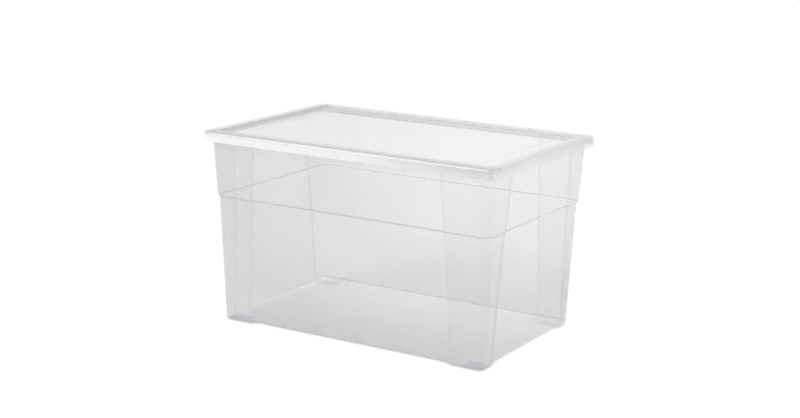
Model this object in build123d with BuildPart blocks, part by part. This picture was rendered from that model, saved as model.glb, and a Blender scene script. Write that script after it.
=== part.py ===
from build123d import *
from math import cos, radians, tan
import os

# Driving dimensions in millimetres. The origin is the centre of the footprint on the floor,
# X runs along the long side, and the front long side faces -Y.

# Overall sizes, measured on the lid and to its top
lid_length = 590.0
lid_width = 387.0
overall_height = 350.0

# Tub walls, as insets from the lid's outline
base_inset = 27.4
under_step_inset = 19.2
over_step_inset = 16.8
rim_inset = 10.7
tub_corner_radius = 18.0
tub_wall = 2.0
base_thickness = 2.2
panel_recess = 2.5
panel_side_angle = 45.0
step_height = 232.0
step_rise = 6.0

# Corner pillars, as widths on each face from the outline of the lid
long_pillar_top = 108.0
long_pillar_step = 101.0
long_pillar_base = 88.0
short_pillar_top = 84.0
short_pillar_step = 76.0
short_pillar_base = 60.0

# Feet
foot_height = 4.0
foot_flare = 75.0
foot_inner_radius = 26.0
foot_edge_radius = 7.0
base_edge_radius = 5.0

# Rolled rim of the tub
rim_thickness = 2.0
rim_depth = 8.0
rim_clearance = 0.9
seat_gap = 0.3
joint_overlap = 0.4

# Lid
lid_wall = 1.8
lid_corner_radius = 16.0
skirt_height = 18.0
skirt_draft = 2.5
shoulder_radius = 6.0
ring_width = 24.0
ring_thickness = 2.0
recess_depth = 4.0
recess_corner_radius = 10.0
recess_floor_radius = 1.2
ring_edge_radius = 1.5
border_width = 34.0
border_depth = 0.8
border_corner_radius = 8.0
rib_height = 6.0
rib_thickness = 1.6
rib_clearance = 0.9

# Snap beads inside the skirt
bead_length = 46.0
bead_height = 3.0
bead_clearance = 0.35
bead_rise = 2.0
bead_pitch_long = 180.0
bead_pitch_short = 170.0
beads_long = 3
beads_short = 2

# Plain label field in the lid's panel
field_length = 150.0
field_width = 46.0
field_depth = 0.5
field_x = 80.0
field_y = -100.0

# Heights that follow
lid_underside = overall_height - ring_thickness
rim_top = lid_underside - seat_gap
step_low = step_height - step_rise / 2
step_high = step_height + step_rise / 2
skirt_bottom = overall_height - skirt_height
border_top = overall_height - recess_depth
panel_top = border_top - border_depth
floor_top = foot_height + base_thickness
foot_top = foot_height + base_edge_radius
side_slope = tan(radians(panel_side_angle))
cut_margin = 20.0
window_depth = base_inset + panel_recess + tub_wall + base_edge_radius + joint_overlap


def wall_inset(height):
    """Inset of the pillars' outer face from the lid's outline, at a height."""
    if height <= step_low:
        return base_inset + (under_step_inset - base_inset) * height / step_low
    share = (height - step_high) / (rim_top - step_high)
    return over_step_inset + (rim_inset - over_step_inset) * share


def drafted_form(bottom, extra_inset, edge_radius):
    """Solid with the tub's drafted outline, from a height up to the rim, further inset all round."""
    with BuildPart() as form:
        for height in (bottom, step_low, step_high, rim_top):
            inset = wall_inset(height) + extra_inset
            with BuildSketch(Plane.XY.offset(height)):
                RectangleRounded(
                    lid_length - 2 * inset,
                    lid_width - 2 * inset,
                    tub_corner_radius - extra_inset,
                )
        loft(ruled=True)
        fillet(form.faces().sort_by(Axis.Z)[0].edges(), radius=edge_radius)
    return form.part


def window_outline(half_size, top, step, base, depth, wall_shift):
    """Right half of the outline of a face's clear panel, at a depth in from the lid's outline."""
    top_edge = half_size - top + (rim_inset - depth) * side_slope + wall_shift
    high_edge = half_size - step + (over_step_inset - depth) * side_slope + wall_shift
    low_edge = half_size - step + (under_step_inset - depth) * side_slope + wall_shift
    base_edge = half_size - base + (base_inset - depth) * side_slope + wall_shift
    return [
        (0, -cut_margin),
        (base_edge, -cut_margin),
        (base_edge, 0),
        (low_edge, step_low),
        (high_edge, step_high),
        (top_edge, overall_height),
        (0, overall_height),
    ]


def window_pair(side, half_reach, half_size, top, step, base, wall_shift):
    """The clear panels' pockets in two opposite faces, with sides that slope towards the panel."""
    with BuildPart() as pair:
        for depth in (0, window_depth, half_reach):
            slope_depth = min(depth, window_depth)
            with BuildSketch(side.offset(half_reach - depth)):
                with BuildLine():
                    Polyline(
                        *window_outline(half_size, top, step, base, slope_depth, wall_shift),
                        close=True,
                    )
                make_face()
                mirror(about=Plane.YZ)
        loft(ruled=True)
        mirror(about=side)
    return pair.part


def corner_columns(form, wall_shift):
    """A form without what its long and short windows take out, which leaves the corner pillars."""
    long_windows = window_pair(
        Plane.XZ, lid_width / 2, lid_length / 2,
        long_pillar_top, long_pillar_step, long_pillar_base, wall_shift,
    )
    short_windows = window_pair(
        Plane.YZ, lid_length / 2, lid_width / 2,
        short_pillar_top, short_pillar_step, short_pillar_base, wall_shift,
    )
    with BuildPart() as columns:
        add(form)
        add(long_windows, mode=Mode.SUBTRACT)
        add(short_windows, mode=Mode.SUBTRACT)
    return columns.part


def above(form, height):
    """The part of a form above a height."""
    with BuildPart() as upper:
        add(form)
        split(bisect_by=Plane.XY.offset(height), keep=Keep.TOP)
    return upper.part


def corner_feet(form, bottom, shift):
    """The four flared foot blocks cut from a form."""
    pad_size = 2 * (long_pillar_base + cut_margin)
    pad_x = lid_length / 2 - long_pillar_base + shift + pad_size / 2
    pad_y = lid_width / 2 - short_pillar_base + shift + pad_size / 2
    with BuildPart() as feet:
        add(form)
        with BuildSketch(Plane.XY.offset(bottom)):
            with GridLocations(2 * pad_x, 2 * pad_y, 2, 2):
                RectangleRounded(pad_size, pad_size, foot_inner_radius - shift)
        extrude(amount=foot_top - bottom, taper=-foot_flare, mode=Mode.INTERSECT)
    return feet.part


# Forms that the tub is made of: outer faces, and the spaces inside them
inner_edge_radius = foot_edge_radius - tub_wall
inner_recess = panel_recess + tub_wall
side_shift = tub_wall / cos(radians(panel_side_angle))
panel_form = drafted_form(foot_height, panel_recess, base_edge_radius)
panel_space = drafted_form(floor_top, inner_recess, base_edge_radius - tub_wall)
columns = corner_columns(drafted_form(0, 0, foot_edge_radius), 0)
space_columns = corner_columns(drafted_form(base_thickness, tub_wall, inner_edge_radius), side_shift)
flares = corner_feet(drafted_form(0, panel_recess, foot_edge_radius), 0, 0)
flare_spaces = corner_feet(
    drafted_form(base_thickness, inner_recess, inner_edge_radius), base_thickness, tub_wall
)
column_feet = corner_feet(columns, 0, 0)
column_foot_spaces = corner_feet(space_columns, base_thickness, tub_wall)

# Outer edge of the rim, which passes up inside the skirt of the lid
skirt_slope = tan(radians(skirt_draft))
rim_outer_inset = lid_wall + skirt_height * skirt_slope + rim_clearance
rim_edge_radius = shoulder_radius - lid_wall - rim_clearance


def lid_outline(inset, radius, mode=Mode.ADD):
    """Rounded rectangle inside the lid's outline, by an inset."""
    return RectangleRounded(lid_length - 2 * inset, lid_width - 2 * inset, radius, mode=mode)


# Rolled rim, an upturned channel round the mouth of the tub
with BuildPart() as rim:
    with BuildSketch(Plane.XY.offset(rim_top - rim_depth)):
        lid_outline(rim_outer_inset, lid_corner_radius - rim_outer_inset)
    extrude(amount=rim_depth)
    fillet(rim.faces().sort_by(Axis.Z)[-1].edges(), radius=rim_edge_radius)
    rim_channel_inset = rim_outer_inset + rim_thickness
    with BuildSketch(Plane.XY.offset(rim_top - rim_depth)):
        lid_outline(rim_channel_inset, lid_corner_radius - rim_channel_inset)
    extrude(amount=rim_depth - rim_thickness, mode=Mode.SUBTRACT)

# Tub
with BuildPart() as tub:
    add(panel_form)
    add(above(columns, foot_height))
    add(flares)
    add(column_feet)
    add(rim.part)
    add(panel_space, mode=Mode.SUBTRACT)
    add(above(space_columns, floor_top), mode=Mode.SUBTRACT)
    add(flare_spaces, mode=Mode.SUBTRACT)
    add(column_foot_spaces, mode=Mode.SUBTRACT)
tub.part.label = "tub"

# Space inside the skirt, rounded under the shoulder
with BuildPart() as skirt_space:
    with BuildSketch(Plane.XY.offset(skirt_bottom)):
        lid_outline(lid_wall, lid_corner_radius - lid_wall)
    extrude(amount=skirt_height - ring_thickness, taper=skirt_draft)
    fillet(skirt_space.faces().sort_by(Axis.Z)[-1].edges(), radius=shoulder_radius - lid_wall)

# Pocket that the feet of the next box stand in
with BuildPart() as recess_space:
    with BuildSketch(Plane.XY.offset(border_top)):
        lid_outline(ring_width, recess_corner_radius)
    extrude(amount=recess_depth)
    fillet(recess_space.faces().sort_by(Axis.Z)[0].edges(), radius=recess_floor_radius)

# Lid
panel_inset = ring_width + border_width
rib_inset = rim_inset + panel_recess + tub_wall + rib_clearance
rib_radius = tub_corner_radius - panel_recess - tub_wall - rib_clearance
with BuildPart() as lid:
    with BuildSketch(Plane.XY.offset(skirt_bottom)):
        lid_outline(0, lid_corner_radius)
    extrude(amount=skirt_height, taper=skirt_draft)
    fillet(lid.faces().sort_by(Axis.Z)[-1].edges(), radius=shoulder_radius)
    add(skirt_space.part, mode=Mode.SUBTRACT)
    with BuildSketch(Plane.XY.offset(border_top - lid_wall)):
        lid_outline(ring_width - lid_wall, recess_corner_radius + lid_wall)
    extrude(amount=recess_depth + lid_wall)
    with BuildSketch(Plane.XY.offset(panel_top - lid_wall)):
        lid_outline(panel_inset - lid_wall, border_corner_radius + lid_wall)
    extrude(amount=border_depth + lid_wall)
    add(recess_space.part, mode=Mode.SUBTRACT)
    with BuildSketch(Plane.XY.offset(panel_top)):
        lid_outline(panel_inset, border_corner_radius)
    extrude(amount=recess_depth, mode=Mode.SUBTRACT)
    ring_face = lid.faces().filter_by(Axis.Z).sort_by(Axis.Z)[-1]
    fillet(ring_face.inner_wires()[0].edges(), radius=ring_edge_radius)
    with BuildSketch(Plane.XY.offset(lid_underside - rib_height)):
        lid_outline(rib_inset, rib_radius)
        lid_outline(rib_inset + rib_thickness, rib_radius - rib_thickness, mode=Mode.SUBTRACT)
    extrude(amount=rib_height + joint_overlap)
    with BuildSketch(Plane.XY.offset(panel_top - field_depth)):
        with Locations((field_x, field_y)):
            SlotOverall(field_length, field_width)
    extrude(amount=field_depth, mode=Mode.SUBTRACT)
    for plane, half_size, pitch, count in (
        (Plane.YZ, lid_width / 2, bead_pitch_long, beads_long),
        (Plane.XZ, lid_length / 2, bead_pitch_short, beads_short),
    ):
        bead_foot = half_size - lid_wall - bead_rise * skirt_slope
        bead_crest = half_size - rim_outer_inset + bead_clearance
        bead_base = skirt_bottom + bead_rise
        for number in range(count):
            middle = (number - (count - 1) / 2) * pitch
            with BuildSketch(plane.offset(middle)):
                with BuildLine():
                    Polyline(
                        (bead_foot + joint_overlap, bead_base),
                        (bead_crest, bead_base + bead_height / 2),
                        (bead_foot + joint_overlap, bead_base + bead_height),
                        close=True,
                    )
                make_face()
                mirror(about=Plane.YZ)
            extrude(amount=bead_length / 2, both=True)
lid.part.label = "lid"

os.makedirs("parts", exist_ok=True)
export_step(tub.part, "parts/tub.step")
export_step(lid.part, "parts/lid.step")
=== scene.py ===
import math

import bpy
from mathutils import Matrix, Vector

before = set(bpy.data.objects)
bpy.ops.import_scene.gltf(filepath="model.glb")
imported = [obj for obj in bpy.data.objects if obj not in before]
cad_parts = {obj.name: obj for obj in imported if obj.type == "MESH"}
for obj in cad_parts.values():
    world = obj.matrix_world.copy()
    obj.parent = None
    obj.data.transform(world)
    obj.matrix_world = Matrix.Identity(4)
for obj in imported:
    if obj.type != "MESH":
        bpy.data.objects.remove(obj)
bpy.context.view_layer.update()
scene = bpy.context.scene
scene.view_settings.view_transform = "Standard"
# A line of sight crosses up to a dozen plastic walls, each with two faces
scene.cycles.transparent_max_bounces = 48

# Camera, at the photograph's viewing angle: angles in radians, places in metres
YAW, PITCH, ROLL = -0.53976, 0.22742, -0.01933
SHIFT_TO_CAMERA = Vector((-0.00344, 2.76259, -0.85061))
FOCAL_PX, FRAME_PX = 1585.62, 800.0
SENSOR = 36.0
FAR_CLIP = 50.0

# Sizes on the box, in metres
MM = 0.001
STEP_LOW, STEP_MIDDLE, STEP_HIGH = 229 * MM, 232 * MM, 235 * MM
RIM_TOP = 348 * MM
PANEL_SIDE = 2.5 * MM
# From the box's middle to where the pillars start: at the base, at the step and at the rim
LONG_PILLAR_EDGE = (207 * MM, 194 * MM, 187 * MM)
SHORT_PILLAR_EDGE = (133.5 * MM, 117.5 * MM, 109.5 * MM)
BASE_HALF_LENGTH, BASE_HALF_WIDTH = 265 * MM, 163 * MM
FLOOR_TOP, FLOOR_CLEAR = 6 * MM, 8 * MM
FOOT_FROM_X, FOOT_FROM_Y = 222 * MM, 128 * MM
END_WALL_FROM = 262 * MM
RECESS_HALF_LENGTH, RECESS_HALF_WIDTH = 271 * MM, 169.5 * MM
CLEAR_HALF_LENGTH, CLEAR_HALF_WIDTH = 237 * MM, 135.5 * MM
SHOULDER_LOW, SHOULDER_HIGH = 344 * MM, 349 * MM
SHOULDER_INNER, SHOULDER_OUTER = 15 * MM, 18 * MM
END_SKIRT_FROM = 286 * MM

# Half the width of each line that an edge draws in the plastic
PILLAR_LINE, STEP_LINE, BASE_LINE = 1.8 * MM, 4.0 * MM, 3.5 * MM
RECESS_LINE, CLEAR_LINE = 2.0 * MM, 1.6 * MM
BASE_LINE_HEIGHT = 8 * MM

# Colour of the plastic at tone 0 and at tone 1
BRIGHT, DARK = (0.96, 0.95, 0.965), (0.41, 0.42, 0.45)

# Opacity of one wall
WALL_ALPHA, WALL_ALPHA_LIMIT = 0.17, 0.35
# Painted shade: extra opacity of the walls towards the base and towards the left end
LOW_SHADE_ALPHA, LEFT_SHADE_ALPHA = 0.24, 0.15
# Frosted pillars: part of their opacity is real frosting, and the rise towards the base is
# painted shade
PILLAR_ALPHA_LOW, PILLAR_ALPHA_HIGH = 0.14, 0.065
# The base is more opaque towards the front as painted shade
BASE_ALPHA_FRONT, BASE_ALPHA_BACK, FOOT_ALPHA = 0.37, 0.09, 0.17
PILLAR_LINE_ALPHA, STEP_LINE_ALPHA = 0.46, 0.58
BASE_LINE_ALPHA, END_BASE_LINE_ALPHA = 0.6, 0.3
LID_ALPHA, RING_ALPHA = 0.26, 0.6
RECESS_LINE_ALPHA, CLEAR_LINE_ALPHA = 0.5, 0.45
# Painted light: the skirt is more opaque, and so brighter, on the left than on the right
SKIRT_ALPHA_LEFT, SKIRT_ALPHA_RIGHT = 0.96, 0.6

# Tone
# The walls' tone holds painted shade, darker towards the base
WALL_TONE, LOW_SHADE_TONE, OVERFLOW_TONE, LINE_TONE = 0.7, 0.3, 2.2, 0.95
# The ring's front side is darker as painted shade
RING_TONE_FRONT_SHADED, RING_TONE = 0.58, 0.1
RECESS_LINE_TONE, CLEAR_LINE_TONE = 0.36, 0.42
# Painted shade on the skirt towards the right, and a smaller share of it on the right end
SKIRT_SHADE_RIGHT, END_SKIRT_SHADE_SHARE = 0.5, 0.15

# Cloudiness and grain of the plastic: how fine, and how much each changes
CLOUD_SCALE, CLOUD_DETAIL, GRAIN_SCALE = 7.0, 3.0, 260.0
CLOUD_ALPHA, GRAIN_ALPHA, CLOUD_TONE = 0.02, 0.006, 0.012
GLOSS_CHANGE = 0.02

# Share of light let through the scattering body, refractive index of the skin, roughness
TUB_FINISH = (0.35, 1.45, 0.15)
LID_FINISH = (0.1, 1.8, 0.11)

# Floor and studio
FLOOR_SIZE = 40
FLOOR_DIFFUSE, FLOOR_GLOW = 0.5, 0.68
FLOOR_GRAIN, FLOOR_GRAIN_SCALE = 0.004, 30.0
WORLD_LIGHT = 0.64
LAMP_TARGET = (0, 0, 0.15)


def place_camera():
    turn = Vector((math.cos(YAW), -math.sin(YAW), 0))
    level = Vector((math.sin(YAW), math.cos(YAW), 0))
    vertical = Vector((0, 0, 1))
    ahead = math.cos(PITCH) * level - math.sin(PITCH) * vertical
    rise = math.sin(PITCH) * level + math.cos(PITCH) * vertical
    across = math.cos(ROLL) * turn - math.sin(ROLL) * rise
    up = math.sin(ROLL) * turn + math.cos(ROLL) * rise
    eye = -(turn * SHIFT_TO_CAMERA.x + level * SHIFT_TO_CAMERA.y)
    eye.z = -SHIFT_TO_CAMERA.z
    lens = bpy.data.cameras.new("camera")
    lens.sensor_width = SENSOR
    lens.lens = FOCAL_PX / FRAME_PX * SENSOR
    lens.clip_end = FAR_CLIP
    camera = bpy.data.objects.new("camera", lens)
    camera.matrix_world = Matrix((
        (across.x, up.x, -ahead.x, eye.x),
        (across.y, up.y, -ahead.y, eye.y),
        (across.z, up.z, -ahead.z, eye.z),
        (0, 0, 0, 1),
    ))
    scene.collection.objects.link(camera)
    scene.camera = camera


class Value:
    """A number that varies over a surface, as a node socket with arithmetic."""

    def __init__(self, tree, socket):
        self.tree, self.socket = tree, socket

    def do(self, operation, *others):
        n = self.tree.nodes.new("ShaderNodeMath")
        n.operation = operation
        for slot, part in zip(n.inputs, (self, *others)):
            if isinstance(part, Value):
                part.plug(slot)
            else:
                slot.default_value = part
        return Value(self.tree, n.outputs[0])

    def __add__(self, other):
        return self.do("ADD", other)

    def __sub__(self, other):
        return self.do("SUBTRACT", other)

    def __rsub__(self, other):
        return (self * -1) + other

    def __mul__(self, other):
        return self.do("MULTIPLY", other)

    def __abs__(self):
        return self.do("ABSOLUTE")

    def least(self, other):
        return self.do("MINIMUM", other)

    def most(self, other):
        return self.do("MAXIMUM", other)

    def plug(self, slot):
        self.tree.links.new(self.socket, slot)

    def ramp(self, low, high, start=0.0, end=1.0, smooth=False):
        """start below low, end above high, and in between a straight or smooth ramp."""
        n = self.tree.nodes.new("ShaderNodeMapRange")
        n.interpolation_type = "SMOOTHSTEP" if smooth else "LINEAR"
        self.plug(n.inputs["Value"])
        n.inputs["From Min"].default_value = low
        n.inputs["From Max"].default_value = high
        n.inputs["To Min"].default_value = start
        n.inputs["To Max"].default_value = end
        return Value(self.tree, n.outputs["Result"])

    def line(self, width):
        """1 where the value is 0, falling smoothly to 0 at a width on either side."""
        return abs(self).ramp(0.0, width, 1.0, 0.0, smooth=True)


def blank(name):
    mat = bpy.data.materials.new(name)
    mat.use_nodes = True
    mat.node_tree.nodes.clear()
    return mat


def place_of(tree):
    n = tree.nodes.new("ShaderNodeTexCoord")
    s = tree.nodes.new("ShaderNodeSeparateXYZ")
    tree.links.new(n.outputs["Object"], s.inputs[0])
    return n.outputs["Object"], [Value(tree, o) for o in s.outputs]


def noise(tree, place, scale, detail=2.0):
    """Smooth random variation from -1 to 1."""
    n = tree.nodes.new("ShaderNodeTexNoise")
    n.inputs["Scale"].default_value = scale
    n.inputs["Detail"].default_value = detail
    tree.links.new(place, n.inputs["Vector"])
    return Value(tree, n.outputs["Fac"]).ramp(0.25, 0.75, -1.0, 1.0)


def colour_at(tree, tone):
    """The plastic's colour at a tone."""
    mix = tree.nodes.new("ShaderNodeMix")
    mix.data_type = "RGBA"
    factor, _, _, _, _, _, first, second = mix.inputs[:8]
    first.default_value = (*BRIGHT, 1)
    second.default_value = (*DARK, 1)
    tone.plug(factor)
    return mix.outputs[2]


def mix_shaders(tree, share, first, second):
    mix = tree.nodes.new("ShaderNodeMixShader")
    if isinstance(share, Value):
        share.plug(mix.inputs[0])
    else:
        mix.inputs[0].default_value = share
    tree.links.new(first.outputs[0], mix.inputs[1])
    tree.links.new(second.outputs[0], mix.inputs[2])
    return mix


def plastic(tree, place, alpha, tone, finish):
    """Thin plastic: a share of scattering body, the rest clear, under a glossy skin."""
    translucency, index, roughness = finish
    nodes = tree.nodes
    # A wall is shaded once, where a ray enters it
    entering = 1 - Value(tree, nodes.new("ShaderNodeNewGeometry").outputs["Backfacing"])
    cloud = noise(tree, place, CLOUD_SCALE, CLOUD_DETAIL)
    grain = noise(tree, place, GRAIN_SCALE)
    alpha = (alpha + cloud * CLOUD_ALPHA + grain * GRAIN_ALPHA) * entering
    colour = colour_at(tree, tone + cloud * CLOUD_TONE)
    diffuse = nodes.new("ShaderNodeBsdfDiffuse")
    through = nodes.new("ShaderNodeBsdfTranslucent")
    tree.links.new(colour, diffuse.inputs["Color"])
    tree.links.new(colour, through.inputs["Color"])
    body = mix_shaders(tree, translucency, diffuse, through)
    thin = mix_shaders(tree, alpha, nodes.new("ShaderNodeBsdfTransparent"), body)
    gloss = nodes.new("ShaderNodeBsdfGlossy")
    (grain * GLOSS_CHANGE + cloud * GLOSS_CHANGE + roughness).plug(gloss.inputs["Roughness"])
    fresnel = nodes.new("ShaderNodeFresnel")
    fresnel.inputs["IOR"].default_value = index
    skin = mix_shaders(tree, Value(tree, fresnel.outputs[0]) * entering, thin, gloss)
    out = nodes.new("ShaderNodeOutputMaterial")
    tree.links.new(skin.outputs[0], out.inputs["Surface"])


def pillar_edge_at(z, base, step, top):
    """Where the pillar starts, at a height."""
    lower = z.ramp(0.0, STEP_LOW, base, step)
    upper = z.ramp(STEP_HIGH, RIM_TOP, 0.0, top - step)
    return lower + upper


def tub_material():
    mat = blank("tub_plastic")
    tree = mat.node_tree
    place, (x, y, z) = place_of(tree)
    # How far a point lies beyond the panel, on a long side and on a short side
    from_long = abs(x) - pillar_edge_at(z, *LONG_PILLAR_EDGE)
    from_short = abs(y) - pillar_edge_at(z, *SHORT_PILLAR_EDGE)
    beyond_long = from_long.ramp(-PANEL_SIDE, 0.0)
    beyond_short = from_short.ramp(-PANEL_SIDE, 0.0)
    pillar = beyond_long * beyond_short
    on_long_side = from_long.line(PILLAR_LINE) * beyond_short
    on_short_side = from_short.line(PILLAR_LINE) * beyond_long
    line = on_long_side.most(on_short_side)
    step = (z - STEP_MIDDLE).line(STEP_LINE)
    # What lies on the base, inside its outline, and on the feet
    inside = (BASE_HALF_LENGTH - abs(x)).least(BASE_HALF_WIDTH - abs(y))
    on_base = z.ramp(FLOOR_TOP, FLOOR_CLEAR, 1.0, 0.0) * inside.ramp(0.0, 2.0 * MM)
    past_foot_edge = (abs(x) - FOOT_FROM_X).least(abs(y) - FOOT_FROM_Y)
    foot = past_foot_edge.ramp(-1.0 * MM, 1.0 * MM) * on_base
    off_base = 1 - on_base
    base_line = (z - BASE_LINE_HEIGHT).line(BASE_LINE) * off_base
    # Painted shade: opacity and darkness rise towards the base and towards the left end
    low_shade = z.ramp(0.0, 0.14, 0.3, 0.0, smooth=True) + z.ramp(0.1, 0.34, 0.5, 0.12)
    # Painted shade towards the left end
    left = x.ramp(-0.28, 0.05, LEFT_SHADE_ALPHA, 0.0)
    # The pillars are frosted, and more opaque near the base as painted shade
    pillar_part = pillar * z.ramp(0.0, 0.15, PILLAR_ALPHA_LOW, PILLAR_ALPHA_HIGH, smooth=True)
    wall = low_shade * LOW_SHADE_ALPHA + left + pillar_part + WALL_ALPHA
    # Painted shade: the base grows more opaque towards the front
    base = y.ramp(-0.16, 0.1, BASE_ALPHA_FRONT, BASE_ALPHA_BACK) + foot * FOOT_ALPHA
    alpha = wall.least(WALL_ALPHA_LIMIT) * off_base + base * on_base
    on_end = abs(x) - END_WALL_FROM
    base_line_alpha = on_end.ramp(0.0, 3 * MM, BASE_LINE_ALPHA, END_BASE_LINE_ALPHA)
    alpha = alpha.most(line * PILLAR_LINE_ALPHA).most(step * STEP_LINE_ALPHA)
    alpha = alpha.most(base_line * base_line_alpha)
    # Where the opacity stops at its limit, the colour darkens instead, which carries on the
    # painted shade towards the base and the left end, and the pillars' frosting
    overflow = (wall - WALL_ALPHA_LIMIT).most(0.0)
    tone = low_shade * LOW_SHADE_TONE + overflow * OVERFLOW_TONE + WALL_TONE
    for mark in (line, step, base_line):
        tone = tone.most(mark * LINE_TONE)
    plastic(tree, place, alpha, tone, TUB_FINISH)
    return mat


def lid_material():
    mat = blank("lid_plastic")
    tree = mat.node_tree
    place, (x, y, z) = place_of(tree)
    # How far a point lies outside the recess, and outside the clear panel in its middle
    off_recess = (abs(x) - RECESS_HALF_LENGTH).most(abs(y) - RECESS_HALF_WIDTH)
    off_clear = (abs(x) - CLEAR_HALF_LENGTH).most(abs(y) - CLEAR_HALF_WIDTH)
    ring = off_recess.ramp(-1.0 * MM, 1.0 * MM)
    recess_line = off_recess.line(RECESS_LINE)
    clear_line = off_clear.line(CLEAR_LINE)
    at_rim = off_recess.ramp(SHOULDER_INNER, SHOULDER_OUTER)
    skirt = z.ramp(SHOULDER_LOW, SHOULDER_HIGH, 1.0, 0.0) * at_rim
    alpha = ring * (RING_ALPHA - LID_ALPHA) + LID_ALPHA
    alpha = alpha.most(recess_line * RECESS_LINE_ALPHA).most(clear_line * CLEAR_LINE_ALPHA)
    # Painted light: the skirt more opaque and so brighter towards the left
    alpha = alpha.most(skirt * x.ramp(-0.1, 0.25, SKIRT_ALPHA_LEFT, SKIRT_ALPHA_RIGHT))
    # Painted shade: the ring darker along its front side
    ring_tone_front_shaded = y.ramp(-173 * MM, -167 * MM, RING_TONE_FRONT_SHADED, RING_TONE)
    top_tone = (ring * ring_tone_front_shaded).most(recess_line * RECESS_LINE_TONE)
    top_tone = top_tone.most(clear_line * CLEAR_LINE_TONE)
    # Painted shade: the skirt darkens towards the right of its long sides, and less on the
    # right end
    end_shade_share = (x - END_SKIRT_FROM).ramp(0.0, 4 * MM, 1.0, END_SKIRT_SHADE_SHARE)
    painted_skirt_shade = end_shade_share * x.ramp(0.03, 0.26, 0.0, SKIRT_SHADE_RIGHT)
    plastic(tree, place, alpha, top_tone * (1 - skirt) + skirt * painted_skirt_shade, LID_FINISH)
    return mat


def seen_directly(tree):
    """1 for what the camera sees, also in a mirror or through glass."""
    paths = tree.nodes.new("ShaderNodeLightPath")
    camera_ray, glossy, through = (
        Value(tree, paths.outputs[key])
        for key in ("Is Camera Ray", "Is Glossy Ray", "Is Transmission Ray")
    )
    return camera_ray.most(glossy).most(through)


def lay_floor():
    bpy.ops.mesh.primitive_plane_add(size=FLOOR_SIZE)
    floor = bpy.context.object
    floor.name = "floor"
    white = blank("floor_white")
    tree = white.node_tree
    place, _ = place_of(tree)
    level = noise(tree, place, FLOOR_GRAIN_SCALE) * FLOOR_GRAIN + FLOOR_DIFFUSE
    shade = tree.nodes.new("ShaderNodeCombineColor")
    for channel in shade.inputs[:3]:
        level.plug(channel)
    diffuse = tree.nodes.new("ShaderNodeBsdfDiffuse")
    tree.links.new(shade.outputs[0], diffuse.inputs["Color"])
    glow = tree.nodes.new("ShaderNodeEmission")
    (seen_directly(tree) * FLOOR_GLOW).plug(glow.inputs["Strength"])
    both = tree.nodes.new("ShaderNodeAddShader")
    out = tree.nodes.new("ShaderNodeOutputMaterial")
    tree.links.new(diffuse.outputs[0], both.inputs[0])
    tree.links.new(glow.outputs[0], both.inputs[1])
    tree.links.new(both.outputs[0], out.inputs["Surface"])
    floor.data.materials.append(white)


def light_world():
    world = bpy.data.worlds.new("studio")
    world.use_nodes = True
    scene.world = world
    tree = world.node_tree
    tree.nodes.clear()
    out = tree.nodes.new("ShaderNodeOutputWorld")
    sky = tree.nodes.new("ShaderNodeBackground")
    sky.inputs["Color"].default_value = (1, 1, 1, 1)
    seen_directly(tree).ramp(0, 1, WORLD_LIGHT, 1.0).plug(sky.inputs["Strength"])
    tree.links.new(sky.outputs[0], out.inputs["Surface"])


def lamp(name, place, size, power):
    data = bpy.data.lights.new(name, "AREA")
    data.shape = "DISK"
    data.size = size
    data.energy = power
    ob = bpy.data.objects.new(name, data)
    ob.location = place
    aim = Vector(LAMP_TARGET) - Vector(place)
    ob.rotation_euler = aim.to_track_quat("-Z", "Y").to_euler()
    scene.collection.objects.link(ob)


place_camera()
for name, mat in (("tub", tub_material()), ("lid", lid_material())):
    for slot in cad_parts[name].material_slots:
        slot.material = mat
lay_floor()
light_world()
lamp("key", (-1.5, -2.5, 2.5), 2.8, 78)
lamp("side", (3.0, 0.3, 1.8), 2.2, 30)
